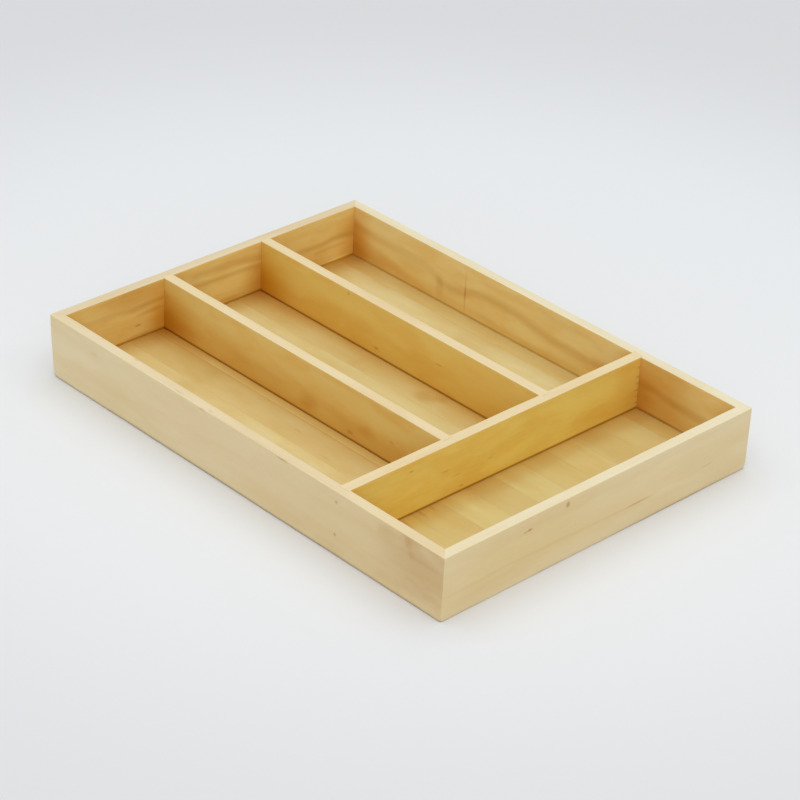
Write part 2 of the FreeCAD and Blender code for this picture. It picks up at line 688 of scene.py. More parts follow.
@dataclass(frozen=True)
class Rings:
    """How the growth rings lie in one board, in millimetres.

    The rings are circles round a heart that runs along the board, outside it, and drifts as it goes.
    The other fields are the same for every board: the cells of the two noises that warp the circles, how
    far they do, and where within a ring the late wood grows in and ends.
    """

    heart: Span
    spacing: float = 5.0
    drift: float = 0.0
    wander: float = 6.0
    dark: float = 0.10
    seed: float = 0.0
    slow_cells: Cells = (90, 30, 30)
    quick_cells: Cells = (22, 7, 7)
    quick_share: float = 0.35
    unrest: float = 0.8
    growing: Span = (0.35, 0.9)
    ending: Span = (0.92, 1.0)

    def share(self, grain: Grain) -> tuple[Socket, Socket]:
        """The share of dark late wood, and the noise that lines wander by.

        The distance from the heart, warped by a slow and a quick noise, is divided by the spacing. Its
        fraction rises slowly through the early wood and falls at once after the late wood.

        Args:
            grain: the board's coordinates.

        Returns:
            The share, from 0 to 1, and the noise, about 0.
        """
        shade = grain.shade
        slow = shade.minus(grain.noise(self.slow_cells, self.seed + 11), 0.5)
        quick = shade.minus(grain.noise(self.quick_cells, self.seed + 17, 3.0, 0.55), 0.5)
        across = shade.plus(grain.across, shade.line(grain.along, self.drift, -self.heart[0]))
        across = shade.line(slow, self.wander, across)
        up = shade.minus(grain.up, self.heart[1])
        up = shade.line(quick, self.wander * self.quick_share, up)
        turn = shade.line(shade.length(across, up), 1 / self.spacing, shade.times(slow, self.unrest))
        turn = shade.math("FRACT", turn)
        return shade.times(shade.step(turn, *self.growing), shade.fade(turn, *self.ending)), quick


@dataclass(frozen=True)
class WoodFinish:
    """The pine of one group of boards, finished with oil: its colours, fibres and gloss.

    `top`, `inside`, `wall`, `foot`, `corner` and `line` are tints of the parts that they name, all painted
    light
    and shade: painted light on the top, painted bounce light inside the tray, painted shade by walls, at
    the foot and in corners, and along the seam a dark joint deepened by painted shade.
    """

    pale: Colour
    late: Colour = (0.86, 0.72, 0.52)
    top: Colour = WHITE
    inside: Colour = WHITE
    wall: Colour = (0.985, 0.83, 0.56)
    foot: Colour = (0.96, 0.91, 0.80)
    corner: Colour = (0.90, 0.72, 0.40)
    line: Colour = (0.64, 0.46, 0.05)
    blotch: Colour = (0.95, 0.88, 0.76)
    blotch_share: float = 0.6
    blotching: Span = (0.42, 0.72)
    amber: Colour = (0.97, 0.88, 0.74)
    mottling: Span = (0.38, 0.66)
    mottle_cells: Cells = (38.0, 15.0, 13.0)
    cloud_cells: Cells = (70, 22, 16)
    fibre_cells: Cells = (14, 0.55, 0.55)
    thread_cells: Cells = (5, 0.22, 0.22)
    fibre: float = 0.05
    full_late: float = 0.3
    roughness: float = 0.5
    roughness_spread: float = 0.16
    gloss: float = 0.35
    bump: float = 0.35
    bump_height: float = 0.06 * MM
    thread_relief: float = 0.5
    ring_relief: float = 0.25

    def grown(
        self, grain: Grain, rings: Rings, tone: Colour, ring: Socket, fibres: Socket, threads: Socket
    ) -> Socket:
        """The bare wood: blotches, late wood, and the light and dark of its fibres.

        Args:
            grain: the board's coordinates.
            rings: how the growth rings lie.
            tone: a tint of the whole board.
            ring: the share of late wood.
            fibres: the coarse noise of the fibres.
            threads: the fine one.

        Returns:
            The colour.
        """
        shade = grain.shade
        base, blotched, late = (
            tuple(p * t * c for p, t, c in zip(self.pale, tone, tint))
            for tint in (WHITE, self.blotch, self.late)
        )
        clouds = grain.noise(self.cloud_cells, rings.seed + 7)
        blotches = shade.step(clouds, *self.blotching, 0.0, self.blotch_share)
        colour = shade.mix(blotches, base, blotched)
        colour = shade.mix(shade.times(ring, rings.dark / self.full_late), colour, late)
        value = shade.line(shade.minus(fibres, 0.5), 2 * self.fibre, 1.0)
        value = shade.line(shade.minus(threads, 0.5), 1.2 * self.fibre, value)
        return shade.tinted(colour, shade.vector(value, value, value))

    def inside_mottle_and_painted_light(self, grain: Grain, colour: Socket, seed: float, nooks: Nooks) -> Socket:
        """The wood inside the tray: warmer as painted bounce light, mottled with amber, and darker in the
        nooks as painted shade.

        Args:
            grain: the board's coordinates.
            colour: the wood outside it.
            seed: what moves the mottling.
            nooks: where other boards meet this one.

        Returns:
            The colour.
        """
        shade = grain.shade
        # painted bounce light: every face inside the tray is tinted warmer
        warm = shade.tinted(colour, self.inside)
        mottle = grain.noise(self.mottle_cells, seed + 23, 3.0, 0.55)
        warm = shade.tinted(warm, self.amber, shade.step(mottle, *self.mottling))
        # painted shade in the nooks: by walls, low on the faces and in corners; the seam's line is a dark
        # joint deepened by painted shade
        for share, tint in zip(nooks.shares(grain), (self.wall, self.foot, self.corner, self.line)):
            if isinstance(share, Socket):
                warm = shade.tinted(warm, tint, share)
        return warm

    def surface(self, shade: Shade, colour: Socket, fibres: Socket, threads: Socket, ring: Socket) -> None:
        """The gloss and the relief: fibres stand up a few hundredths of a millimetre, late wood less.

        Args:
            shade: the material.
            colour: its colour.
            fibres: the coarse noise of the fibres.
            threads: the fine one.
            ring: the share of late wood.
        """
        height = shade.line(ring, self.ring_relief, shade.line(threads, self.thread_relief, fibres))
        relief = {"Height": height, "Strength": self.bump, "Distance": self.bump_height}
        smoothest = self.roughness - self.roughness_spread / 2
        shade.skin(
            {
                "Base Color": colour,
                "Roughness": shade.line(fibres, self.roughness_spread, smoothest),
                "Specular IOR Level": self.gloss,
                "Normal": shade.node("Bump", relief).outputs[0],
            }
        )


@dataclass(frozen=True)
class SteelFinish:
    """The dull steel of the brads: bright in places and darker in patches where it has dulled."""

    bright: Colour = (0.55, 0.50, 0.44)
    dull: Colour = (0.34, 0.28, 0.22)
    patch_cells: Cells = (0.8, 0.8, 0.8)
    dulling: Span = (0.35, 0.65)
    roughness: float = 0.55
    roughness_spread: float = 0.3

    def material(self, name: str) -> bpy.types.Material:
        """Builds the metal.

        Args:
            name: the material's name.

        Returns:
            The material.
        """
        shade = Shade(name)
        patches = Grain.of(shade, "x").noise(self.patch_cells, 0.0, 3.0, 0.6)
        smoothest = self.roughness - self.roughness_spread / 2
        shade.skin(
            {
                "Base Color": shade.mix(shade.step(patches, *self.dulling), self.bright, self.dull),
                "Metallic": 1.0,
                "Roughness": shade.line(patches, self.roughness_spread, smoothest),
            }
        )
        return shade.material


@dataclass(frozen=True)
class Nick:
    """A small knock on a board's outer side: its place along and up, its reach both ways, its depth."""

    along: float
    up: float
    wide: float
    tall: float
    deep: float


@dataclass(frozen=True)
class Look:
    """What one board looks like: its wood, how the growth rings lie, its marks, its nicks and its tone."""

    wood: WoodFinish
    rings: Rings
    marks: tuple[Mark, ...] = ()
    nicks: tuple[Nick, ...] = ()
    marked: Marked = Marked.BOTH
    tone: Colour = WHITE

    def material(self, name: str, axis: str, sizes: TraySizes, nooks: Nooks) -> bpy.types.Material:
        """Builds the wood of the board: bare, then tinted with painted light on its top, with painted
        bounce light and shade inside the tray, and at its marks.

        Args:
            name: the material's name.
            axis: the axis that the fibres run along.
            sizes: the tray's sizes, for what lies inside the rim.
            nooks: where other boards meet this one.

        Returns:
            The material.
        """
        shade = Shade(name)
        grain = Grain.of(shade, axis)
        wood, rings = self.wood, self.rings
        ring, wander = rings.share(grain)
        fibres = grain.noise(wood.fibre_cells, rings.seed, 3.0, 0.6)
        threads = grain.noise(wood.thread_cells, rings.seed + 3, 1.0)
        colour = wood.grown(grain, rings, self.tone, ring, fibres, threads)
        top = (sizes.floor if nooks.seam is None else sizes.height) / MM
        on_top, on_arris = (
            shade.step(grain.up, *(top + past for past in edge)) for edge in (TOP_EDGE, ARRIS_EDGE)
        )
        # painted light on the top: a tint of its own, paler and bluer on the right and front boards, darker
        # on the left and back
        colour = shade.tinted(colour, wood.top, on_top)
        inside = grain.inside(sizes, axis)
        # inside the tray the colour takes the painted bounce light, the amber mottle and the painted shade
        # of the nooks
        colour = shade.mix(inside, colour, wood.inside_mottle_and_painted_light(grain, colour, rings.seed, nooks))
        on_side = shade.minus(1.0, on_top)
        if self.marked is Marked.INSIDE:
            on_side = shade.times(on_side, inside)
        elif self.marked is Marked.OUTSIDE:
            on_side = shade.times(on_side, shade.minus(1.0, inside))
        for mark in self.marks:
            share = shade.times(mark.strength(grain, wander), on_arris if mark.flat else on_side)
            colour = shade.tinted(colour, mark.tone, share)
        wood.surface(shade, colour, fibres, threads, ring)
        return shade.material


@dataclass
class Board:
    """What every board of the tray has in common.

    A subclass says in `rings` how its section runs along it; the rest is the same for all.
    """

    node: str
    slot: str
    sizes: TraySizes
    look: Look
    nooks: Nooks
    axis: str = "y"
    seed: int = 1
    step: float = 1.6 * MM
    waviness: float = 0.035 * MM
    wave: float = 28 * MM
    arc_steps: int = 5
    core_foot: float = 3 * MM
    core_top: float = 4 * MM

    def rings(self) -> np.ndarray:
        """The board's points, (stations, points, 3)."""
        raise NotImplementedError

    def worn(
        self, outline: np.ndarray, along: np.ndarray, middle: float, core: list[tuple[float, float]]
    ) -> np.ndarray:
        """Presses a soft waviness and the nicks into the ideal surface.

        A nick is deep times exp(-(a/wide)^2 - (u/tall)^2), on the outer half of the section.

        Args:
            outline: (stations, points, 2), as (across, up).
            along: the stations.
            middle: the section's middle, across.
            core: the line inside the section that the points move towards.

        Returns:
            The worn outline.
        """
        across, up = outline[..., 0], outline[..., 1]
        column = along[:, None]
        depth = self.waviness * (0.5 + 0.5 * ripple(column, across + up, self.wave, self.seed)).clip(0, 1)
        for nick in self.look.nicks:
            away = ((column - nick.along) / nick.wide) ** 2 + ((up - nick.up) / nick.tall) ** 2
            depth = depth + nick.deep * np.exp(-away) * (across >= middle)
        return pressed_in(outline, depth, core)

    def worn_on_edge(
        self, outline: np.ndarray, along: np.ndarray, middle: float, foot: float
    ) -> np.ndarray:
        """The worn outline of a board on edge, pressed in towards an upright line in its middle.

        Args:
            outline: (stations, points, 2), as (across, up).
            along: the stations.
            middle: the section's middle, across.
            foot: the height of the board's foot.

        Returns:
            The worn outline.
        """
        core = [(middle, foot + self.core_foot), (middle, self.sizes.height - self.core_top)]
        return self.worn(outline, along, middle, core)

    def build(self) -> bpy.types.Object:
        """Makes the board, ties it to the frame and dresses it.

        Returns:
            The board's object.
        """
        board = skinned(self.node + "_board", self.rings())
        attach(board, "root")
        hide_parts(self.node)
        wood = self.look.material(self.node + "_wood", self.axis, self.sizes, self.nooks)
        board.data.materials.append(wood)
        return board


@dataclass
class RimBoard(Board):
    """One board of the rim: mitred ends, a groove for the base and housings for the dividers."""

    side: Side = Side.LEFT
    housings: tuple[Span, ...] = ()
    brad_places: tuple[Span, ...] = ()
    groove_depth: float = 3.0 * MM
    groove_radius: float = 0.1 * MM
    seam_gap: float = 0.22 * MM
    seam_wave: float = 11 * MM
    housing_depth: float = 2.0 * MM
    crisp_reach: float = 1.2 * MM
    fine_reach: float = 0.7 * MM
    fine_step: float = 0.2 * MM
    end_reach: float = 2 * MM
    end_step: float = 0.25 * MM
    corner_radius: float = 0.7 * MM
    top_corner_radius: float = 0.5 * MM
    top_corner_height: float = 2.0 * MM
    foot_corner_radius: float = 3.0 * MM
    foot_corner_height: float = 5.0 * MM
    outer_top_radius: float = 0.6 * MM
    outer_wave: float = 45 * MM
    inner_top_radius: float = 0.5 * MM
    inner_wave: float = 60 * MM
    foot_radius: float = 1.0 * MM
    inner_foot_radius: float = 0.4 * MM
    mitre_reach: float = 14 * MM
    mitre_play: float = 0.012 * MM
    worn_end: int = 0
    worn_radius: float = 5.0 * MM
    brad_hole_radius: float = 1.1 * MM
    brad_hole_depth: float = 0.22 * MM
    brad_patch: float = 1.4 * MM
    brad_spacing: float = 0.14 * MM

    def extents(self) -> tuple[float, float, float]:
        """How far the board reaches, seen from the tray's centre.

        Returns:
            Its outer face, its inner face and half its length.
        """
        sizes = self.sizes
        if self.axis == "y":
            return sizes.half_width, sizes.inner_half_width, sizes.half_length
        return sizes.half_length, sizes.inner_half_length, sizes.half_width

    def outline(self, along: np.ndarray) -> np.ndarray:
        """The section at every station, as (distance from the tray's centre, height).

        It runs up the outer face, over the top, down the inner face and round the groove. In a housing
        the inner face stands further out and its arris is crisp, as the divider fills it.

        Args:
            along: the stations.

        Returns:
            (stations, points, 2).
        """
        outer, inner, _ = self.extents()
        sizes, count = self.sizes, len(along)
        slotted, crisp = np.zeros(count), np.zeros(count)
        for low, high in self.housings:
            slotted[(along > low) & (along < high)] = 1
            crisp = np.maximum(crisp, closeness(along, low, high, self.crisp_reach))
        face = inner + slotted * self.housing_depth
        back = inner + self.groove_depth
        gaping = 0.55 + 0.4 * ripple(along, 0 * along, self.seam_wave, self.seed + 52)
        mouth = sizes.floor + self.seam_gap * gaping
        top, ledge = sizes.height, sizes.base_bottom
        places = [(outer, 0.0), (outer, top), (face, top), (face, mouth)]
        places += [(back, mouth), (back, ledge), (inner, ledge), (inner, 0.0)]
        sanded = uneven(along, self.outer_wave, self.seed + 50)
        eased = uneven(along, self.inner_wave, self.seed + 51)
        inner_top = self.inner_top_radius * eased * (1 - crisp) + SHARP
        radii = [self.foot_radius * eased, self.outer_top_radius * sanded, inner_top]
        radii += [SHARP, SHARP, SHARP, self.groove_radius, self.inner_foot_radius]
        steps = [self.arc_steps, self.arc_steps, self.arc_steps, 0, 0, 0, 1, 2]
        rise = shares(round(sizes.height / self.step))
        patch = np.arange(-self.brad_patch, self.brad_patch + self.brad_spacing / 2, self.brad_spacing)
        for _, level in self.brad_places:
            rise = np.union1d(rise, (level + patch) / sizes.height)
        runs = [rise, *(shares(points) for points in (4, 20, 1, 1, 1, 1, 3))]
        return eased_outline(corners_at(count, places), by_station(count, radii), steps, runs)

    def brad_recess(self, along: np.ndarray, outline: np.ndarray) -> np.ndarray:
        """The filled holes over the brads: shallow dishes that fall away smoothly within their radius.

        Args:
            along: the stations.
            outline: (stations, points, 2).

        Returns:
            (stations, points), how far each point of the outer face lies back.
        """
        depth = np.zeros(outline.shape[:2])
        on_face = outline[..., 0] > self.extents()[0] - 0.5 * MM
        for place, level in self.brad_places:
            away = np.hypot(along[:, None] - place, outline[..., 1] - level)
            dish = np.clip(1 - (away / self.brad_hole_radius) ** 2, 0, 1)
            depth += self.brad_hole_depth * dish * on_face
        return depth

    def rings(self) -> np.ndarray:
        """The board's points: the section at stations whose ends are drawn back to the mitre.

        Within `mitre_reach` of an end, a station at distance s from the middle moves to where it keeps
        its share of what is left: the outer face reaches the corner, and the inner face less far by the
        board's thickness. The upright arris is then rounded in plan.

        Returns:
            (stations, points, 3).
        """
        outer, inner, half = self.extents()
        fine = [(sign * (half - self.end_reach), self.end_reach, self.end_step) for sign in (-1, 1)]
        for low, high in self.housings:
            fine += [jump(low), jump(high)]
            outside = (low - self.fine_reach, high + self.fine_reach)
            fine += [(place, self.fine_reach, self.fine_step) for place in outside]
        fine += [(place, self.brad_patch, self.brad_spacing) for place, _ in self.brad_places]
        along = stations(half, self.step, fine)
        outline = self.worn_on_edge(self.outline(along), along, (outer + inner) / 2, 0.0)
        outline[..., 0] -= self.brad_recess(along, outline)
        across, up = outline[..., 0], outline[..., 1]
        column = along[:, None]
        reach = self.mitre_reach
        beyond = np.clip(np.abs(column) - (half - reach), 0, reach) / reach
        room = reach - (outer - across) - self.mitre_play
        place = np.sign(column) * (np.minimum(np.abs(column), half - reach) + beyond * room)
        return self.in_row(*self.rounded_in_plan(place, across, up), up)

    def rounded_in_plan(
        self, along: np.ndarray, across: np.ndarray, up: np.ndarray
    ) -> tuple[np.ndarray, np.ndarray]:
        """Rounds the upright arris: each corner square is drawn onto a quarter disc of the same radius.

        A point (p, q) from the square's inner corner moves to (p, q) times max(p, q) / hypot(p, q). The
        radius grows towards the foot and a little towards the top, and on a worn end all the way down.

        Args:
            along: places along the board.
            across: distances from the tray's centre.
            up: heights.

        Returns:
            The new places along and across.
        """
        outer, _, half = self.extents()
        height = self.sizes.height
        low = np.clip(1 - up / self.foot_corner_height, 0, 1) ** 2
        high = np.clip(1 - (height - up) / self.top_corner_height, 0, 1) ** 2
        worn = (1 - up / height).clip(0, 1) ** 1.3 * (np.sign(along) == self.worn_end)
        radius = self.corner_radius + (self.foot_corner_radius - self.corner_radius) * low
        radius = radius + self.top_corner_radius * high + self.worn_radius * worn
        p = np.abs(along) - (half - radius)
        q = across - (outer - radius)
        inside = (p > 0) & (q > 0)
        scale = np.where(inside, np.maximum(p, q) / np.maximum(np.hypot(p, q), NO_LENGTH), 1)
        along = np.where(inside, np.sign(along) * (half - radius + p * scale), along)
        across = np.where(inside, outer - radius + q * scale, across)
        return along, across

    def in_row(self, along: np.ndarray, across: np.ndarray, up: np.ndarray) -> np.ndarray:
        """Turns (along, distance from the centre, up) into the tray's own X, Y and Z, on the last axis."""
        out = across * self.side.outward
        return np.stack((out, along, up) if self.axis == "y" else (along, out, up), axis=-1)


@dataclass
class Divider(Board):
    """One divider: a board on edge with eased top arrises, crisp where it goes into its housings."""

    bare: Span = (0.0, 0.0)
    notches: tuple[Span, ...] = ()
    notch_depth: float = 2.0 * MM
    notch_reach: float = 1.0 * MM
    crisp_reach: float = 0.6 * MM
    fine_reach: float = 1.0 * MM
    fine_step: float = 0.25 * MM
    top_radius: float = 0.45 * MM
    top_wave: float = 40 * MM
    foot_radius: float = 0.15 * MM
    end_play: float = 0.02 * MM
    foot_play: float = 0.1 * MM

    def rings(self) -> np.ndarray:
        """The board's points: its section at every station, with the rear face set back in a notch.

        Returns:
            (stations, points, 3).
        """
        low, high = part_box(self.node)
        number = "xy".index(self.axis)
        start, end = low[number] + self.end_play, high[number] - self.end_play
        front, rear = low[1 - number], high[1 - number]
        half, centre = (end - start) / 2, (start + end) / 2
        fine = []
        for edge in [*self.bare, *(place for pair in self.notches for place in pair)]:
            fine += [jump(edge - centre), (edge - centre, self.fine_reach, self.fine_step)]
        along = stations(half, self.step, fine) + centre
        count = len(along)
        notched = np.zeros(count)
        first, last = self.bare
        crisp = 1 - closeness(along, first + self.crisp_reach, last - self.crisp_reach, self.crisp_reach)
        crisp_rear = crisp.copy()
        for notch_low, notch_high in self.notches:
            notched[(along > notch_low) & (along < notch_high)] = 1
            crisp_rear = np.maximum(crisp_rear, closeness(along, notch_low, notch_high, self.notch_reach))
        back = rear - notched * self.notch_depth
        foot = self.sizes.floor + self.foot_play
        places = [(front, foot), (front, high.z), (back, high.z), (back, foot)]
        rounding = self.top_radius * uneven(along, self.top_wave, self.seed + 50)
        front_top, rear_top = (rounding * (1 - share) + SHARP for share in (crisp, crisp_rear))
        radii = [self.foot_radius, front_top, rear_top, self.foot_radius]
        rise = shares(round((high.z - foot) / self.step))
        steps = [1, self.arc_steps, self.arc_steps, 1]
        runs = [rise, shares(4), rise, shares(4)]
        outline = eased_outline(corners_at(count, places), by_station(count, radii), steps, runs)
        outline = self.worn_on_edge(outline, along, (front + rear) / 2, foot)
        across, up = outline[..., 0], outline[..., 1]
        column = np.broadcast_to(along[:, None], across.shape)
        return np.stack((column, across, up) if self.axis == "x" else (across, column, up), axis=-1)


@dataclass
class BaseStrip(Board):
    """One strip of the base panel, with its long arrises just broken, so that a fine line shows between."""

    arris: float = 0.015 * MM
    point_spacing: float = 2 * MM
    core_side: float = 1 * MM

    def rings(self) -> np.ndarray:
        """The strip's points: a flat section with tiny arcs, wavy by a few hundredths.

        Returns:
            (stations, points, 3).
        """
        low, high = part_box(self.node)
        along = stations((high.y - low.y) / 2, 3 * self.step, []) + (high.y + low.y) / 2
        count = len(along)
        places = [(low.x, low.z), (low.x, high.z), (high.x, high.z), (high.x, low.z)]
        across = shares(max(2, round((high.x - low.x) / self.point_spacing)))
        radii = np.full((count, 4), self.arris)
        outline = eased_outline(corners_at(count, places), radii, [2, 2, 2, 2], [shares(1), across] * 2)
        level = (low.z + high.z) / 2
        core = [(low.x + self.core_side, level), (high.x - self.core_side, level)]
        outline = self.worn(outline, along, (low.x + high.x) / 2, core)
        column = np.broadcast_to(along[:, None], outline.shape[:2])
        return np.stack([outline[..., 0], column, outline[..., 1]], axis=-1)


def housed(names: tuple[str, ...], axis: str) -> tuple[Span, ...]:
    """Where dividers go into a board, with a little play.

    Args:
        names: the dividers' nodes.
        axis: the axis that the board runs along.

    Returns:
        The two edges of each housing.
    """
    number = "xy".index(axis)
    boxes = [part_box(name) for name in names]
    return tuple((low[number] - HOUSING_PLAY, high[number] + HOUSING_PLAY) for low, high in boxes)


# In these finishes the top, inside, wall, foot, corner and line tints are painted light and shade, set
# board by board
RIM_WOOD = WoodFinish(pale=(0.78, 0.635, 0.375), inside=(1.10, 1.00, 0.72))
LEFT_WOOD = replace(RIM_WOOD, top=(0.97, 0.965, 1.0))
RIGHT_WOOD = replace(
    RIM_WOOD,
    top=(1.01, 1.10, 1.26),
    inside=(1.11, 1.09, 0.80),
    foot=(0.95, 0.88, 0.72),
    line=(0.79, 0.70, 0.44),
)
FRONT_WOOD = replace(RIM_WOOD, top=(1.02, 1.11, 1.29))
BACK_WOOD = replace(RIM_WOOD, top=(0.93, 0.94, 1.02), inside=(1.08, 0.99, 0.60))
LEFT_DIVIDER_WOOD = WoodFinish(
    pale=(0.78, 0.625, 0.365),
    inside=(1.03, 0.965, 0.57),
    foot=(0.87, 0.71, 0.44),
    corner=(0.80, 0.58, 0.13),
    line=(0.54, 0.36, 0.02),
)
RIGHT_DIVIDER_WOOD = replace(LEFT_DIVIDER_WOOD, inside=(1.065, 0.965, 0.445), foot=(0.94, 0.83, 0.60))
CROSS_WOOD = replace(
    LEFT_DIVIDER_WOOD, inside=(1.10, 1.045, 0.44), foot=(1.03, 1.01, 0.90), corner=(0.90, 0.72, 0.40)
)
BASE_WOOD = WoodFinish(
    pale=(0.665, 0.53, 0.235),
    corner=(0.86, 0.69, 0.43),
    blotch=(0.97, 0.92, 0.84),
    amber=(0.97, 0.92, 0.82),
    mottle_cells=(36.0, 13.0, 13.0),
    fibre=0.025,
)

# The marks of each board, in rows of a fleck's own values: its place along, its level, how wide and tall
# it is, its darkness, its tone, how ragged it is, and True where it lies on a top. Rows noted as painted
# shade or painted light stand for light and shade.
LEFT_MARKS = flecks(
    (-166, 27, 60, 34, 1.0, (0.84, 0.73, 0.61), 0.9),
    (-98, 20, 104, 40, 0.9, (0.945, 0.90, 0.84), 0.7),
    (-118, -124.4, 40, 8, 0.9, (1.04, 1.08, 1.12), 0.3, True),
    (150, -124.4, 56, 8, 0.9, (1.02, 1.08, 1.18), 0.3, True),
    (-28, -124.4, 72, 8, 0.8, (0.975, 0.95, 0.89), 0.3, True),
    (165, 24, 70, 40, 0.8, (1.03, 1.05, 1.10), 0.7),
    (-128, 36, 12, 7, 0.45, (0.88, 0.78, 0.66), 1.0),
    (-146.5, 37.5, 4.5, 5.0, 0.5, BRUISE, 0.8),
    (-149.5, 31.5, 4.0, 3.5, 0.4, BRUISE, 0.8),
    (-148, 41.0, 11, 5.0, 0.4, (0.85, 0.76, 0.60), 0.8),
    (-160, 31, 16, 3, 0.35, (0.84, 0.72, 0.58), 0.9),
    (-86, 4, 22, 5, 0.35, SOFT, 0.9),
    (20, 25, 110, 26, 0.7, (0.985, 0.94, 0.93), 0.9),
    (131.5, 33.5, 5.0, 2.0, 0.35, (0.84, 0.74, 0.60), 0.6),
    (-41.5, 41.3, 7.0, 0.9, 0.50, KNOT, 0.8),
    (29.5, 41.5, 5.0, 1.0, 0.38, BARK, 0.5),
    (149, -122.6, 5.0, 0.8, 0.5, SOFT, 0.5, True),
    (130, -122.5, 3.0, 0.7, 0.4, SOFT, 0.5, True),
    (98, -122.0, 4.0, 0.9, 0.6, (0.78, 0.68, 0.56), 0.4, True),
    (53, -126.0, 6.5, 0.9, 0.6, (0.80, 0.68, 0.56), 0.6, True),
    (24, -126.0, 3.0, 0.9, 0.6, (0.78, 0.66, 0.54), 0.6, True),
    (-10, -127.2, 60, 0.7, 0.35, SOFT, 0.5, True),
    # painted shadow: a dark band along the foot, where the board meets the floor
    (0, 0.0, 400, 2.4, 0.75, (0.50, 0.43, 0.38), 0.1),
)
LEFT_NICKS = (
    Nick(53 * MM, 42.5 * MM, 4.0 * MM, 0.9 * MM, 0.25 * MM),
    Nick(29.5 * MM, 42.2 * MM, 3.5 * MM, 0.9 * MM, 0.35 * MM),
    Nick(-41.5 * MM, 42.2 * MM, 4.0 * MM, 0.8 * MM, 0.40 * MM),
)
RIGHT_WAVE = (
    (-150, 21), (-120, 22.5), (-97, 24.5), (-60, 21.5), (-32, 21.4), (-8, 23),
    (12, 26), (30, 26.8), (50, 25.6), (68, 20.5), (84, 20),
)
RIGHT_MARKS = (
    Streak(5.6, 0.85, SMEAR, RIGHT_WAVE),
    Streak(5.5, 0.6, SMEAR, ((83, 20), (92, 25), (104, 27), (120, 28), (147, 29), (168, 30))),
    Streak(4.0, 0.25, SMEAR, ((-60, 34), (-20, 37), (30, 36), (70, 33))),
    Streak(3.5, 0.30, SMEAR, ((-40, 9.0), (0, 9.4), (47, 11.5))),
    *flecks(
        # painted shade: these two rows darken the low back corner of the inside face, orange
        (150, 13, 46, 9, 0.75, RUSSET, 0.9),
        (165, 22, 22, 26, 0.85, (0.86, 0.68, 0.42), 0.6),
        (80, 11, 90, 8, 0.7, (0.95, 0.87, 0.76), 0.7),
        (112, 22, 26, 6, 0.4, RUSSET, 1.0),
        (84.5, 17, 5, 13, 0.50, SMEAR, 0.7),
        (60.8, 22, 1.1, 24, 0.50, SCRATCH, 0.05),
        (60.8, 22, 1.2, 7, 0.50, SCRATCH, 0.05),
        (-25, 36, 30, 11, 0.8, (0.94, 0.88, 0.78), 0.7),
        (-110, 24, 44, 52, 1.0, (0.82, 0.64, 0.41), 0.3),
        (22, 16, 56, 34, 0.8, (1.03, 1.08, 1.17), 0.5),
        (-108, 7.2, 30, 1.5, 0.8, (0.78, 0.66, 0.42), 0.2),
    ),
)
FRONT_MARKS = (
    *flecks(
        (-60, 22, 120, 26, 1.0, (0.95, 0.885, 0.73), 0.5),
        (-104, -171.5, 46, 7, 0.8, (0.975, 0.93, 0.85), 0.3, True),
        (46, 22, 40, 22, 0.7, (1.0, 0.96, 0.90), 0.5),
        (-61.0, 33.6, 2.9, 1.1, 0.85),
        (-64.5, 33.2, 2.4, 0.8, 0.5),
        (-30.7, 38.0, 2.4, 2.8, 0.7),
    ),
    Streak(1.8, 0.30, SOFT, ((-123, 15.5), (-60, 16.5), (0, 15.2), (45, 15.4))),
    *flecks(
        (30.5, 15, 15, 0.9, 0.42, KNOT, 0.3),
        (91, 17, 8, 0.9, 0.22, KNOT, 0.2),
        # painted shadow: a dark band along part of the foot, where the board meets the floor
        (70, 0.0, 90, 2.0, 0.7, (0.56, 0.50, 0.45), 0.1),
    ),
)
BACK_WAVE = (
    (-66, 27.5), (-55, 28.5), (-3, 27.5), (15, 26.7), (34, 25),
    (60, 23.8), (90, 22.8), (103, 24), (118, 22.5),
)
BACK_MARKS = (
    Streak(3.6, 0.35, SMEAR, ((-112, 28), (-95, 29), (-80, 28.5), (-66, 27.5))),
    Streak(3.4, 0.80, SMEAR, BACK_WAVE),
    Streak(4.5, 0.7, SMEAR, ((-20, 35), (8, 34), (34, 32), (50, 31))),
    Streak(2.2, 0.45, SMEAR, ((86, 17.4), (100, 17.8), (114, 17))),
    *flecks(
        (-53, 22.8, 16, 2.6, 0.8, SMEAR, 0.6),
        (-64, 15.5, 3.6, 1.1, 0.6),
        (-68, 38, 46, 18, 0.95, (0.84, 0.69, 0.51), 0.6),
        (-48, 20, 10, 34, 0.8, (1.03, 0.96, 0.68), 0.3),
        (10, 9.2, 20, 2.6, 0.9, RUSSET, 0.3),
        (-62, 8.5, 22, 1.8, 0.6, RUSSET, 0.3),
        # painted light: these two rows lighten the low right of the inside face against the shade that
        # falls there
        (114, 11, 28, 14, 1.0, (1.17, 1.30, 1.58), 0.3),
        (106, 7.0, 22, 2.0, 1.0, (1.35, 1.50, 1.90), 0.1),
        (14, 19, 36, 18, 0.9, (1.06, 1.10, 1.14), 0.5),
    ),
)
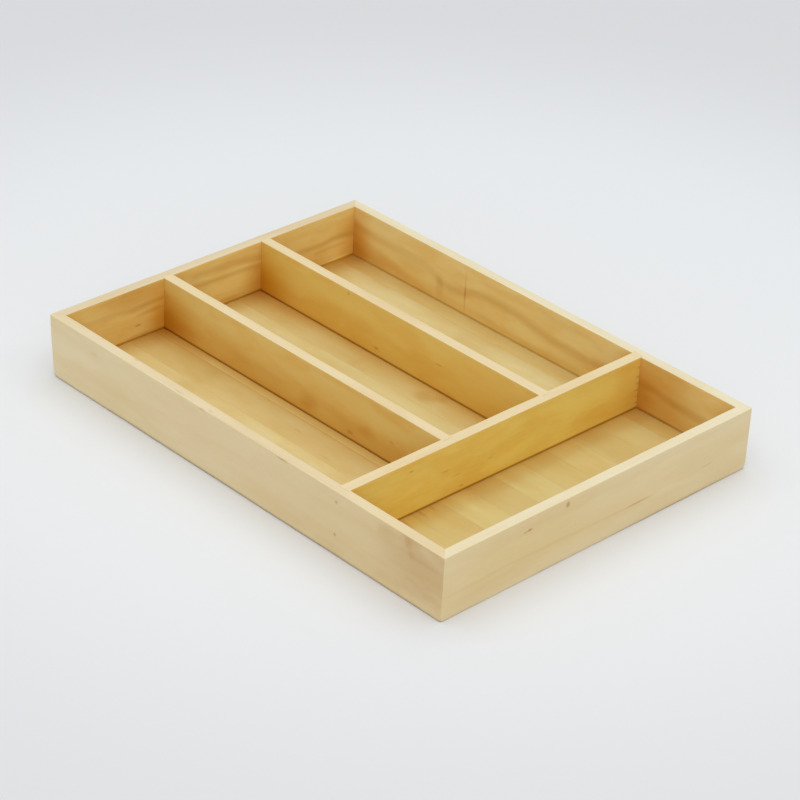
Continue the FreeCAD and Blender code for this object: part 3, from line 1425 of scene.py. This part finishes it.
CROSS_MARKS = flecks(
    (-73, 36, 3.2, 1.0, 0.5),
    (-45, 25, 5, 0.9, 0.38),
    (-35, 19, 5, 0.9, 0.32),
    (-8, 20, 3.4, 0.8, 0.35),
    (-31, 10, 3.0, 0.9, 0.5),
    (108, 30, 14, 16, 0.5, (0.92, 0.78, 0.52), 1.2),
    (98, 14, 44, 18, 0.5, (0.96, 0.90, 0.80), 0.7),
    (-84, 18, 44, 28, 0.8, (1.05, 1.09, 1.11), 0.6),
    (10, 18, 50, 28, 0.6, (1.02, 1.05, 1.07), 0.6),
    (50, 41, 120, 8, 0.7, (0.96, 0.95, 0.97), 0.6),
    (119.6, 10.5, 2.4, 0.9, 0.55, TORN, 0.3),
    (119.8, 15.0, 1.8, 0.8, 0.50, TORN, 0.3),
    (119.4, 19.5, 2.8, 0.9, 0.55, TORN, 0.3),
    (119.7, 24.5, 2.2, 1.1, 0.60, TORN, 0.3),
    (119.5, 29.0, 3.0, 0.9, 0.55, TORN, 0.3),
    (119.8, 35.5, 2.2, 1.0, 0.50, TORN, 0.3),
)
LEFT_DIVIDER_MARKS = flecks(
    # painted shade in the low back corner
    (156, 16, 30, 16, 0.35, RUSSET, 0.6),
    (30, 16, 12, 9, 0.7, RUSSET, 0.9),
    (-8, 11.5, 4, 2, 0.8, (0.80, 0.62, 0.35), 0.8),
    (-22, 17, 11, 7, 0.55, RUSSET, 1.0),
    (-44, 21, 3, 1.6, 0.3),
    (75, 18, 40, 5, 0.3, RUSSET, 0.9),
)
RIGHT_DIVIDER_MARKS = flecks(
    # painted shade in the low back corner
    (156, 16, 30, 16, 0.2, RUSSET, 0.6),
    (0.3, 25, 4, 0.8, 0.5),
    (56.5, 12, 3, 1.6, 0.5),
    (84, 39.5, 2.0, 1.8, 0.35),
    (-40, 30, 50, 30, 0.8, (0.98, 0.92, 0.84), 0.6),
)

# The marks of the base strips by their number from the left, all on a top, so without its True
STRIP_ROWS = {
    3: (
        (20, -80, 90, 14, 0.6, PALE, 0.5),
        (104, -78, 12, 16, 0.6, DIM, 0.8),
        (-98, -76, 14, 12, 0.8, (1.07, 1.10, 0.98), 0.6),
        (-96, -80, 9, 1.8, 0.5, BROWN, 0.8),
    ),
    4: (
        (104, -60, 12, 18, 0.6, DIM, 0.8),
        # painted shade: darker and warmer near the left divider towards the back
        (140, -50, 90, 36, 0.9, (0.91, 0.82, 0.64), 0.8),
        (10, -60, 100, 40, 0.9, (0.98, 0.96, 0.95), 0.5),
        (18, -49, 38, 1.2, 0.3, BROWN, 0.8),
        (20, -60, 6, 1.5, 0.35, BROWN, 0.8),
        (-14, -68, 8, 1.2, 0.35, BROWN, 0.8),
        (-95, -66, 7, 2.2, 0.6, BROWN, 0.8),
        (-94, -57, 5, 1.6, 0.5, BROWN, 0.8),
        (-104, -62, 16, 14, 0.7, (1.05, 1.08, 1.06), 0.6),
    ),
    # the first row is painted shade in the back corner beside the left divider
    5: ((155, -46, 46, 14, 0.9, (0.86, 0.70, 0.44), 0.8), (-100, -38, 30, 9, 0.6, PALE, 0.7)),
    7: ((100, 14, 45, 8, 0.5, PALE, 0.5), (10, 12, 44, 8, 0.5, PALE, 0.5)),
    8: (
        (59, 24, 6, 16, 0.5, DIM, 0.8),
        (1, 28, 12, 8, 0.7, (0.86, 0.71, 0.48), 1.2),
        (-8, 33, 8, 5, 0.5, (0.84, 0.67, 0.42), 1.2),
        (-20, 30, 30, 8, 0.3, PALE, 0.5),
        # painted shade in the back corner beside the right divider
        (148, 36, 50, 26, 0.9, TAN, 0.6),
    ),
    11: (
        (90, 98, 90, 16, 1.0, (1.08, 1.16, 1.36), 0.5),
        (-25, 98, 58, 16, 1.0, (1.08, 1.17, 1.38), 0.5),
        (40, 98, 12, 18, 0.6, DIM, 0.9),
        # painted shade at the foot of the back end
        (165, 98, 26, 20, 0.75, TAN, 0.6),
    ),
    12: (
        (40, 114, 140, 30, 0.5, (1.05, 1.10, 1.14), 0.4),
        # painted shade in the back right corner
        (160, 114, 40, 24, 0.7, TAN, 0.3),
        (-130, 116, 50, 30, 0.7, (0.98, 0.90, 0.74), 0.3),
    ),
}


@dataclass
class Rim:
    """The four mitred boards round the tray."""

    sizes: TraySizes
    nook_reach: float = 20.0
    filler_reach: float = 1.6

    def housings_of(self, side: Side) -> tuple[Span, ...]:
        """Where dividers go into a rim board, along it."""
        names = {Side.FRONT: (), Side.BACK: LONG_DIVIDERS}.get(side, ("cross_divider",))
        return housed(names, side.axis)

    def brads_of(self, side: Side) -> tuple[Span, ...]:
        """Finds where brads go into a rim board, from the boxes of the brads.

        Args:
            side: the board.

        Returns:
            Places along it and heights.
        """
        names = {
            Side.LEFT: ["cross_divider_left_brads"],
            Side.RIGHT: ["cross_divider_right_brads"],
            Side.BACK: ["left_divider_brads", "right_divider_brads"],
        }.get(side, [])
        number = "xy".index(side.axis)
        places = []
        for name in names:
            low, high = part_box(name)
            radius = (high[number] - low[number]) / 2
            middle = (high[number] + low[number]) / 2
            places += [(middle, low.z + radius), (middle, high.z - radius)]
        return tuple(places)

    def nooks_of(self, side: Side) -> Nooks:
        """Finds where the inside of a rim board meets the base, its neighbours and the dividers.

        Args:
            side: the board.

        Returns:
            Its nooks.
        """
        sizes = self.sizes
        end = (sizes.inner_half_length if side.axis == "y" else sizes.inner_half_width) / MM
        met = [place / MM for pair in self.housings_of(side) for place in pair]
        return Nooks(corners=(-end, *met, end), seam=sizes.floor / MM, reach=self.nook_reach)

    def looks(self) -> dict[Side, Look]:
        """The look of each rim board.

        Returns:
            The looks, with the filler over the brads of the left side among its marks.
        """
        reach = self.filler_reach
        holes = [(place / MM, level / MM) for place, level in self.brads_of(Side.LEFT)]
        filler = flecks(*((*hole, reach, reach, 0.6, BARK, 0.3) for hole in holes))
        left = Rings((-190, -40), spacing=13, drift=0.05, wander=14, dark=0.025, seed=2.0)
        right = Rings((210, 60), spacing=11, drift=-0.04, wander=12, dark=0.03, seed=5.0)
        front = Rings((-250, 90), spacing=12, drift=0.06, wander=12, dark=0.025, seed=8.0)
        back = Rings((260, -70), spacing=9, drift=-0.03, wander=10, dark=0.035, seed=11.0)
        return {
            Side.LEFT: Look(LEFT_WOOD, left, LEFT_MARKS + filler, LEFT_NICKS, Marked.OUTSIDE),
            Side.RIGHT: Look(RIGHT_WOOD, right, RIGHT_MARKS, (), Marked.INSIDE),
            Side.FRONT: Look(FRONT_WOOD, front, FRONT_MARKS, (), Marked.OUTSIDE),
            Side.BACK: Look(BACK_WOOD, back, BACK_MARKS, (), Marked.INSIDE),
        }

    def build(self) -> list[bpy.types.Object]:
        """Builds and dresses the four boards.

        Returns:
            The boards.
        """
        return [
            RimBoard(
                node=side.node,
                slot="rim_wood",
                sizes=self.sizes,
                look=look,
                nooks=self.nooks_of(side),
                axis=side.axis,
                seed=int(look.rings.seed) + 1,
                side=side,
                housings=self.housings_of(side),
                brad_places=self.brads_of(side),
                worn_end={Side.LEFT: 1, Side.BACK: -1}.get(side, 0),
            ).build()
            for side, look in self.looks().items()
        ]


@dataclass
class Dividers:
    """The cross divider and the two long ones behind it."""

    sizes: TraySizes
    slot: str = "divider_wood"

    def cross(self) -> Divider:
        """The board behind the front pocket, notched behind for the long dividers.

        Returns:
            The board, not yet built.
        """
        end, seam = self.sizes.inner_half_width, self.sizes.floor / MM
        rings = Rings((-330, -60), spacing=12, drift=0.03, wander=12, dark=0.03, seed=14.0)
        return Divider(
            node="cross_divider",
            slot=self.slot,
            sizes=self.sizes,
            look=Look(CROSS_WOOD, rings, CROSS_MARKS),
            nooks=Nooks(corners=(-end / MM,), seam=seam, reach=14.0),
            axis="x",
            seed=31,
            bare=(-end, end),
            notches=housed(LONG_DIVIDERS, "x"),
        )

    def long(self, node: str, look: Look) -> Divider:
        """A board from the cross divider to the back end.

        Args:
            node: its node.
            look: its look.

        Returns:
            The board, not yet built.
        """
        end, seam = self.sizes.inner_half_length, self.sizes.floor / MM
        return Divider(
            node=node,
            slot=self.slot,
            sizes=self.sizes,
            look=look,
            nooks=Nooks(corners=(end / MM,), seam=seam, reach=44.0, rise=32.0),
            seed=int(look.rings.seed) + 20,
            bare=(self.sizes.cross_rear, end),
        )

    def build(self) -> list[bpy.types.Object]:
        """Builds and dresses the three boards.

        Returns:
            The boards.
        """
        left_rings = Rings((150, -30), spacing=8, drift=0.02, wander=10, dark=0.03, seed=17.0)
        right_rings = Rings((-160, 80), spacing=9, drift=-0.03, wander=9, dark=0.03, seed=21.0)
        left = Look(LEFT_DIVIDER_WOOD, left_rings, LEFT_DIVIDER_MARKS)
        right = Look(RIGHT_DIVIDER_WOOD, right_rings, RIGHT_DIVIDER_MARKS)
        boards = [self.cross(), *(self.long(*pair) for pair in zip(LONG_DIVIDERS, (left, right)))]
        return [board.build() for board in boards]


@dataclass
class Base:
    """The base panel: strips glued edge to edge, each from another plank and so of another tone."""

    sizes: TraySizes
    draw_seed: int = 7
    wall_reach: float = 14.0
    corner_reach: float = 20.0
    tones: tuple[Colour, ...] = (
        (1.0, 0.98, 0.97),
        (1.0, 0.99, 0.98),
        (1.03, 1.04, 1.07),
        (0.995, 0.965, 0.92),
        (1.02, 1.02, 0.99),
        (0.97, 0.94, 0.91),
        (1.015, 1.04, 1.06),
        (0.985, 0.955, 0.89),
        (1.02, 1.02, 1.03),
        (0.955, 0.92, 0.87),
        (0.98, 0.965, 0.93),
        (0.975, 0.905, 0.78),
    )

    def strip_names(self) -> list[str]:
        """The strips' nodes, from left to right."""
        return sorted(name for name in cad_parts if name.startswith("base_strip_"))

    def nooks_of(self, node: str) -> Nooks:
        """Finds where dividers stand along a strip, or so near that their shade reaches it, and its ends.

        Args:
            node: the strip's node.

        Returns:
            Its nooks.
        """
        sizes, reach = self.sizes, self.wall_reach
        low, high = (corner.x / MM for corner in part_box(node))
        walls = (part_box(name)[0].x / MM for name in LONG_DIVIDERS)
        close = tuple(x for x in walls if low - reach < x < high + reach)
        ends = (-sizes.inner_half_length, sizes.cross_front, sizes.inner_half_length)
        return Nooks(
            corners=tuple(y / MM for y in ends),
            walls=close,
            walls_from=sizes.cross_rear / MM,
            reach=self.corner_reach,
            wall_reach=reach,
        )

    def marks_of(self, number: int, node: str) -> tuple[Fleck, ...]:
        """A strip's marks: painted shade over the front pocket, painted light at the cross divider's foot,
        and its own.

        Args:
            number: the strip's number from the left.
            node: its node.

        Returns:
            The marks.
        """
        low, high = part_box(node)
        middle = (low.x + high.x) / 2 / MM
        # painted shade: the floor of the narrow front pocket darker and yellower
        pocket = (-112, middle, 36, 70, 1.0, (0.95, 0.95, 0.86), 0.3)
        # painted light: a paler band that softens the shade at the cross divider's foot
        foot = (-94, middle, 9, 70, 0.9, (1.08, 1.09, 1.06), 0.1)
        return flecks(*((*row, True) for row in (pocket, foot, *STRIP_ROWS.get(number, ()))))

    def rings_of(self, number: int, draw: np.random.Generator) -> Rings:
        """Draws how the growth rings lie in a strip.

        Args:
            number: the strip's number from the left.
            draw: what draws them.

        Returns:
            The rings.
        """
        spans = ((-60, 60), (-90, -25), (5.5, 10.0), (-0.12, 0.12), (10, 18), (0.008, 0.022))
        x, z, spacing, drift, wander, dark = (float(draw.uniform(*span)) for span in spans)
        return Rings((x, z), spacing, drift, wander, dark, seed=30.0 + number)

    def build(self) -> list[bpy.types.Object]:
        """Builds and dresses every strip.

        Returns:
            The strips.
        """
        made = []
        draw = np.random.default_rng(self.draw_seed)
        for number, (node, tone) in enumerate(zip(self.strip_names(), self.tones), start=1):
            rings = self.rings_of(number, draw)
            look = Look(BASE_WOOD, rings, self.marks_of(number, node), tone=tone)
            strip = BaseStrip(node, "base_wood", self.sizes, look, self.nooks_of(node), seed=60 + number)
            made.append(strip.build())
        return made


@dataclass
class Brads:
    """The brads, which keep their own solids and get their steel."""

    finish: SteelFinish = SteelFinish()

    def build(self) -> list[bpy.types.Object]:
        """Dresses every group of brads.

        Returns:
            The brads' nodes.
        """
        steel = self.finish.material("brad_steel")
        groups = [node for name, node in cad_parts.items() if name.endswith("_brads")]
        for group in groups:
            group.data.materials.clear()
            group.data.materials.append(steel)
        return groups


@dataclass(frozen=True)
class SoftBox:
    """A square lamp that faces the tray: its place, its width in metres and its power in watts."""

    name: str
    place: tuple[float, float, float]
    width: float
    watts: float

    def build(self) -> None:
        """Hangs the lamp."""
        lamp = bpy.data.lights.new(self.name, "AREA")
        lamp.shape = "SQUARE"
        lamp.size = self.width
        lamp.energy = self.watts
        held = placed(self.name, lamp)
        held.location = self.place
        held.rotation_mode = "QUATERNION"
        held.rotation_quaternion = (-Vector(self.place)).to_track_quat("-Z", "Y")


@dataclass
class Studio:
    """The pale floor, the soft light and the camera at the photograph's place."""

    camera_place: Vector = field(default_factory=lambda: Vector((-1.0684, -1.0745, 0.9057)))
    camera_target: Vector = field(default_factory=lambda: Vector((0.0075, 0.0016, 0.0109)))
    camera_roll: float = 3.198
    focal_length: float = 129.48
    sensor_width: float = 36.0
    sight: float = 60.0
    floor_reach: float = 14.0
    floor_points: int = 9
    # painted light: the floor has its full colour within an ellipse about the tray and the far colour
    # outside it
    floor_colour: Colour = (0.775, 0.778, 0.780)
    far_colour: Colour = (0.690, 0.691, 0.693)
    floor_roughness: float = 0.85
    floor_gloss: float = 0.1
    clear_middle: Span = (0.090, 0.055)
    clear_reach: Span = (0.48, 0.42)
    light_falloff_span: Span = (0.6, 1.3)
    sky_colour: Colour = (0.93, 0.97, 1.0)
    sky_strength: float = 0.60
    lamps: tuple[SoftBox, ...] = (
        SoftBox("overhead_box", (-0.05, -0.12, 2.0), 3.2, 34.0),
        SoftBox("camera_side_box", (-1.6, -1.8, 0.9), 1.8, 9.0),
    )
    light_bounces: int = 8

    def floor(self) -> None:
        """A wide flat floor, a grid of a few cells."""
        count = self.floor_points
        line = np.linspace(-self.floor_reach, self.floor_reach, count)
        x, y = np.meshgrid(line, line, indexing="ij")
        points = np.stack([x, y, 0 * x], axis=-1).reshape(-1, 3)
        index = np.arange(count * count).reshape(count, count)
        corners = (index[:-1, :-1], index[1:, :-1], index[1:, 1:], index[:-1, 1:])
        mesh = bpy.data.meshes.new("floor")
        mesh.from_pydata(points, [], np.stack(corners, axis=-1).reshape(-1, 4).tolist())
        mesh.materials.append(self.floor_paint())
        placed("floor", mesh)

    def floor_paint(self) -> bpy.types.Material:
        """The floor's paint, with painted light: its full colour within an ellipse about the tray, greyer
        outside it as painted fall-off of the light.

        Returns:
            The material.
        """
        shade = Shade("floor_paint")
        grain = Grain.of(shade, "x")
        x = shade.line(grain.along, MM, -self.clear_middle[0])
        y = shade.line(grain.across, MM, -self.clear_middle[1])
        half_root = math.sqrt(0.5)
        sideways = shade.times(shade.minus(x, y), half_root / self.clear_reach[0])
        away = shade.times(shade.plus(x, y), half_root / self.clear_reach[1])
        # painted fall-off of the light, away from the tray
        light_falloff_share = shade.step(shade.length(sideways, away), *self.light_falloff_span)
        shade.skin(
            {
                "Base Color": shade.mix(light_falloff_share, self.floor_colour, self.far_colour),
                "Roughness": self.floor_roughness,
                "Specular IOR Level": self.floor_gloss,
            }
        )
        return shade.material

    def sky(self) -> None:
        """An even pale sky all round."""
        world = bpy.data.worlds.new("sky")
        world.use_nodes = True
        back = world.node_tree.nodes["Background"]
        back.inputs[0].default_value = (*self.sky_colour, 1.0)
        back.inputs[1].default_value = self.sky_strength
        bpy.context.scene.world = world

    def camera(self) -> None:
        """The camera: it looks at the target, rolled by a few degrees, as the photograph's did."""
        lens = bpy.data.cameras.new("photo_camera")
        lens.lens = self.focal_length
        lens.sensor_width = self.sensor_width
        lens.clip_end = self.sight
        held = placed("photo_camera", lens)
        aim = (self.camera_target - self.camera_place).to_track_quat("-Z", "Y").to_matrix()
        roll = Matrix.Rotation(math.radians(self.camera_roll), 3, "Z")
        held.rotation_mode = "QUATERNION"
        held.rotation_quaternion = (aim @ roll).to_quaternion()
        held.location = self.camera_place
        bpy.context.scene.camera = held

    def build(self) -> None:
        """Sets the floor, the lamps, the sky, the camera and the plain colour handling."""
        self.floor()
        for lamp in self.lamps:
            lamp.build()
        self.sky()
        self.camera()
        bpy.context.scene.view_settings.view_transform = "Standard"
        bpy.context.scene.cycles.diffuse_bounces = self.light_bounces


def main() -> None:
    """Builds the tray group by group, reporting each piece, and then the studio round it."""
    logging.basicConfig(level=logging.INFO, format="%(message)s", stream=sys.stdout)
    sizes = TraySizes.from_frame()
    for group in (Rim(sizes), Dividers(sizes), Base(sizes), Brads()):
        for piece in group.build():
            log.info("%s: %d faces", piece.name, len(piece.data.polygons))
    Studio().build()


if __name__ == "__main__":
    main()
